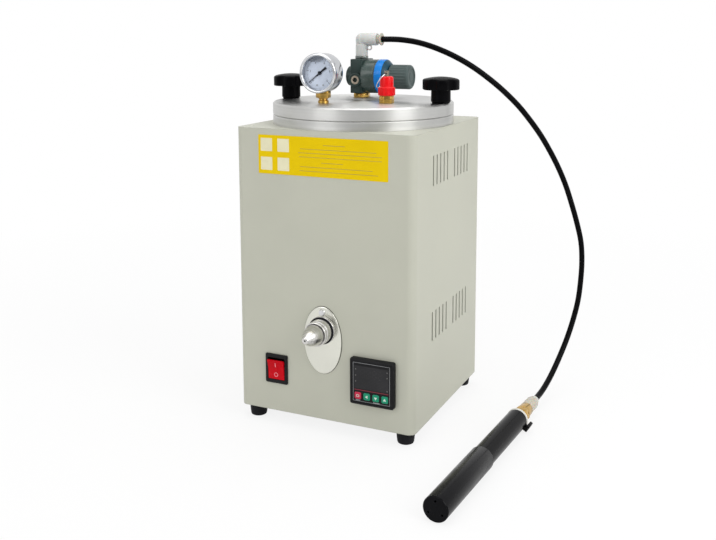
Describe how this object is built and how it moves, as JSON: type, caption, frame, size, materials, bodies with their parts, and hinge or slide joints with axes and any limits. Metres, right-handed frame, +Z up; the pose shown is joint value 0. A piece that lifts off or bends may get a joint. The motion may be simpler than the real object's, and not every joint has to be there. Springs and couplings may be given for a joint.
{
  "type": "jewelry wax injector",
  "caption": "Heated wax pot in a square steel cabinet, with a spring-loaded nozzle in front, and a regulator, gauge and relief valve on its lid, fed by a hand pump through a hose.",
  "frame": {"origin": "on the bench, under the middle of the cabinet's footprint", "axes": "+Z up, -Y out of the front with the nozzle and controls, +X to the right seen from the front"},
  "size_m": [0.3179, 0.3923, 0.409],
  "materials": {
    "grey_paint": "satin powder coat",
    "zinc_plate": "zinc-plated",
    "steel_screws": "zinc-plated",
    "black_rubber": "matte",
    "turned_aluminium": "fine-turned",
    "mica_band": "heat-tinted sheath",
    "mineral_wool": "fibrous mat",
    "probe_steel": "bright",
    "polished_steel": "polished",
    "nozzle_chrome": "nickel-plated, polished",
    "spring_steel": "plain",
    "switch_black": "satin",
    "rocker_red": "translucent gloss",
    "controller_black": "fine texture",
    "window_tint": "dark tinted",
    "key_red": "satin",
    "key_green": "satin",
    "sticker_yellow": "printed film",
    "inlet_black": "satin",
    "ceramic_white": "satin",
    "knob_black": "moulded, slightly glossy",
    "dial_face": "printed",
    "needle_black": "matte",
    "gauge_glass": "clear",
    "fitting_brass": "turned",
    "regulator_green": "die-cast, satin",
    "ring_blue": "gloss",
    "regulator_steel": "plain",
    "regulator_knob_grey": "satin",
    "plug_grey": "plated",
    "cap_red": "anodised gloss",
    "fitting_grey": "satin moulded",
    "hose_black": "polyurethane",
    "barrel_black": "satin anodised",
    "grip_black": "satin",
    "fitting_pale": "translucent moulded",
    "piston_steel": "ground"
  },
  "bodies": {
    "root": {"cabinet_shell": "grey_paint", "bottom_plate": "zinc_plate", "rear_cover": "grey_paint", "case_screws": "steel_screws", "rubber_feet": "black_rubber", "wax_pot": "turned_aluminium", "pot_screws": "steel_screws", "heater_band": "mica_band", "insulation_jacket": "mineral_wool", "temperature_probe": "probe_steel", "splash_plate": "polished_steel", "nozzle_valve": "nozzle_chrome", "nozzle_spring": "spring_steel", "switch_frame": "switch_black", "controller_case": "controller_black", "controller_face": "controller_black", "controller_window": "window_tint", "front_sticker": "sticker_yellow", "mains_inlet": "inlet_black", "terminal_block": "ceramic_white", "lid_seal": "black_rubber", "pump_barrel": "barrel_black", "pump_adapter": "fitting_brass", "pump_fitting": "fitting_pale", "pump_ring": "fitting_pale"},
    "lid": {"pot_lid": "turned_aluminium", "gauge_case": "polished_steel", "gauge_rim": "polished_steel", "gauge_dial": "dial_face", "gauge_window": "gauge_glass", "gauge_stem": "fitting_brass", "regulator_body": "regulator_green", "regulator_ring": "ring_blue", "regulator_plugs": "plug_grey", "regulator_nipple": "fitting_brass", "relief_body": "fitting_brass", "relief_cap": "cap_red", "elbow_fitting": "fitting_grey", "air_hose": "hose_black"},
    "left_washer": {"left_washer": "knob_black"},
    "right_washer": {"right_washer": "knob_black"},
    "left_knob": {"left_knob": "knob_black", "left_stud": "steel_screws"},
    "right_knob": {"right_knob": "knob_black", "right_stud": "steel_screws"},
    "needle": {"gauge_needle": "needle_black"},
    "regulator_screw": {"regulator_screw": "regulator_steel"},
    "regulator_knob": {"regulator_knob": "regulator_knob_grey"},
    "relief_stem": {"relief_stem": "fitting_brass"},
    "pull_ring": {"pull_ring": "polished_steel"},
    "elbow_collet": {"elbow_collet": "fitting_grey"},
    "pump_collet": {"pump_collet": "fitting_pale"},
    "pump_slider": {"pump_grip": "grip_black", "pump_piston": "piston_steel"},
    "nozzle_tip": {"nozzle_tip": "nozzle_chrome"},
    "rocker": {"switch_rocker": "rocker_red"},
    "set_key": {"set_key": "key_red"},
    "shift_key": {"shift_key": "key_green"},
    "down_key": {"down_key": "key_green"},
    "up_key": {"up_key": "key_green"}
  },
  "joints": [
    {"name": "lid_lift", "type": "slide", "parent": "root", "child": "lid", "axis": [0, 0, 1], "range_m": [0, 0.06]},
    {"name": "left_washer_rise", "type": "slide", "parent": "lid", "child": "left_washer", "axis": [0, 0, 1], "range_m": [0, 0.0126]},
    {"name": "left_knob_turn", "type": "hinge", "parent": "left_washer", "child": "left_knob", "pos_m": [-0.089, 0, 0.345], "axis": [0, 0, 1], "range_deg": [0, 3600]},
    {"name": "right_washer_rise", "type": "slide", "parent": "lid", "child": "right_washer", "axis": [0, 0, 1], "range_m": [0, 0.0126]},
    {"name": "right_knob_turn", "type": "hinge", "parent": "right_washer", "child": "right_knob", "pos_m": [0.089, 0, 0.345], "axis": [0, 0, 1], "range_deg": [0, 3600]},
    {"name": "gauge_needle_turn", "type": "hinge", "parent": "lid", "child": "needle", "pos_m": [-0.026, -0.0505, 0.3686], "axis": [0, 1, 0], "range_deg": [0, 270], "stiffness_Nm_per_rad": 0.001},
    {"name": "regulator_adjust", "type": "hinge", "parent": "lid", "child": "regulator_screw", "pos_m": [0, 0.044, 0.3606], "axis": [1, 0, 0], "range_deg": [0, 1440]},
    {"name": "regulator_knob_pull", "type": "slide", "parent": "regulator_screw", "child": "regulator_knob", "axis": [1, 0, 0], "range_m": [0, 0.003]},
    {"name": "relief_lift", "type": "slide", "parent": "lid", "child": "relief_stem", "axis": [0, 0, 1], "range_m": [0, 0.002], "stiffness_N_per_m": 1000},
    {"name": "pull_ring_swing", "type": "hinge", "parent": "relief_stem", "child": "pull_ring", "pos_m": [0.037, -0.022, 0.3676], "axis": [0, 1, 0], "range_deg": [0, 110]},
    {"name": "elbow_release", "type": "slide", "parent": "lid", "child": "elbow_collet", "axis": [-1, 0, 0], "range_m": [0, 0.001], "stiffness_N_per_m": 1000},
    {"name": "pump_release", "type": "slide", "parent": "root", "child": "pump_collet", "axis": [-0.061, -0.9981, 0], "range_m": [0, 0.001], "stiffness_N_per_m": 1000},
    {"name": "pump_stroke", "type": "slide", "parent": "root", "child": "pump_slider", "axis": [-0.061, -0.9981, 0], "range_m": [0, 0.085]},
    {"name": "nozzle_push", "type": "slide", "parent": "root", "child": "nozzle_tip", "axis": [0, 1, 0], "range_m": [0, 0.0035], "stiffness_N_per_m": 2000, "deforming": ["nozzle_spring"]},
    {"name": "power_rocker", "type": "hinge", "parent": "root", "child": "rocker", "pos_m": [-0.0545, -0.0985, 0.0602], "axis": [-1, 0, 0], "range_deg": [0, 16]},
    {"name": "set_key_press", "type": "slide", "parent": "root", "child": "set_key", "axis": [0, 1, 0], "range_m": [0, 0.0005], "stiffness_N_per_m": 800},
    {"name": "shift_key_press", "type": "slide", "parent": "root", "child": "shift_key", "axis": [0, 1, 0], "range_m": [0, 0.0005], "stiffness_N_per_m": 800},
    {"name": "down_key_press", "type": "slide", "parent": "root", "child": "down_key", "axis": [0, 1, 0], "range_m": [0, 0.0005], "stiffness_N_per_m": 800},
    {"name": "up_key_press", "type": "slide", "parent": "root", "child": "up_key", "axis": [0, 1, 0], "range_m": [0, 0.0005], "stiffness_N_per_m": 800}
  ],
  "couplings": [
    {"joint": "left_washer_rise", "follows": "left_knob_turn", "m_per_rad": 0.00019894},
    {"joint": "right_washer_rise", "follows": "right_knob_turn", "m_per_rad": 0.00019894}
  ]
}
